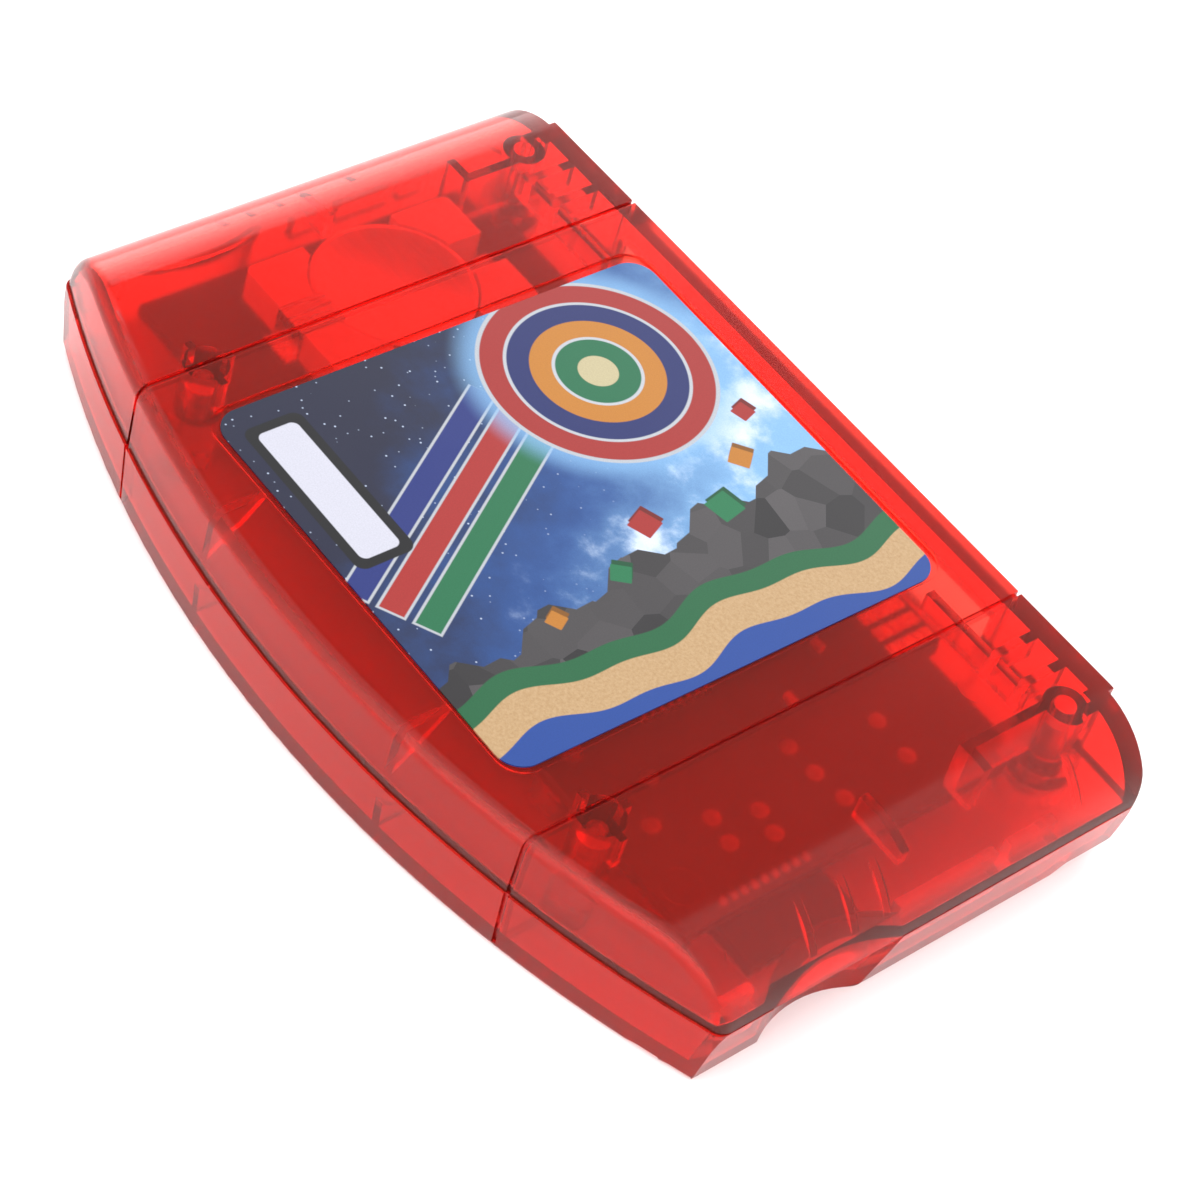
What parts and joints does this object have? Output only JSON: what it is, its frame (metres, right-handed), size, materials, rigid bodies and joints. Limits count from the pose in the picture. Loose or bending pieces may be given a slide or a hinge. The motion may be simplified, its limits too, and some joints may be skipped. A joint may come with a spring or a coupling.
{
  "type": "game cartridge",
  "caption": "Translucent red game cartridge with a curved top edge, rounded ends, a front label in a shallow seat, a connector mouth and the circuit board and coin cell showing inside.",
  "frame": {"origin": "middle of the footprint on the surface the cartridge lies on, back face down", "axes": "+X to the cartridge's right, +Y to the curved top edge, +Z out of the label"},
  "size_m": [0.119, 0.075, 0.0185],
  "materials": {
    "case_front": "translucent red, satin moulded",
    "case_back": "translucent red, satin moulded",
    "label_print": "printed, satin laminate",
    "board": "dark solder mask",
    "contact_gold": "plated",
    "cell_steel": "satin",
    "holder_plastic": "moulded",
    "clip_metal": "plated spring strip",
    "socket_plastic": "moulded",
    "socket_metal": "stamped sheet",
    "chip_plastic": "moulded",
    "lead_tin": "tinned",
    "crystal_metal": "drawn can",
    "capacitor_body": "fired",
    "resistor_body": "fired",
    "solder": "reflowed",
    "screw_steel": "zinc plated"
  },
  "bodies": {
    "root": {"front_shell": "case_front", "back_shell": "case_back", "front_label": "label_print", "circuit_board": "board", "contact_pads_front": "contact_gold", "contact_pads_rear": "contact_gold", "coin_cell": "cell_steel", "cell_holder": "holder_plastic", "cell_clip_upper": "clip_metal", "cell_clip_lower": "clip_metal", "card_socket_body": "socket_plastic", "card_socket_cover": "socket_metal", "card_socket_leads": "lead_tin", "logic_chip": "chip_plastic", "logic_chip_leads": "lead_tin", "memory_chip": "chip_plastic", "memory_chip_leads": "lead_tin", "flash_chip": "chip_plastic", "flash_chip_leads": "lead_tin", "voltage_regulator": "chip_plastic", "regulator_tabs": "lead_tin", "crystal_can": "crystal_metal", "capacitors": "capacitor_body", "resistors": "resistor_body", "test_pads": "solder", "solder_points": "solder", "case_screw_left": "screw_steel", "case_screw_right": "screw_steel"}
  },
  "joints": []
}
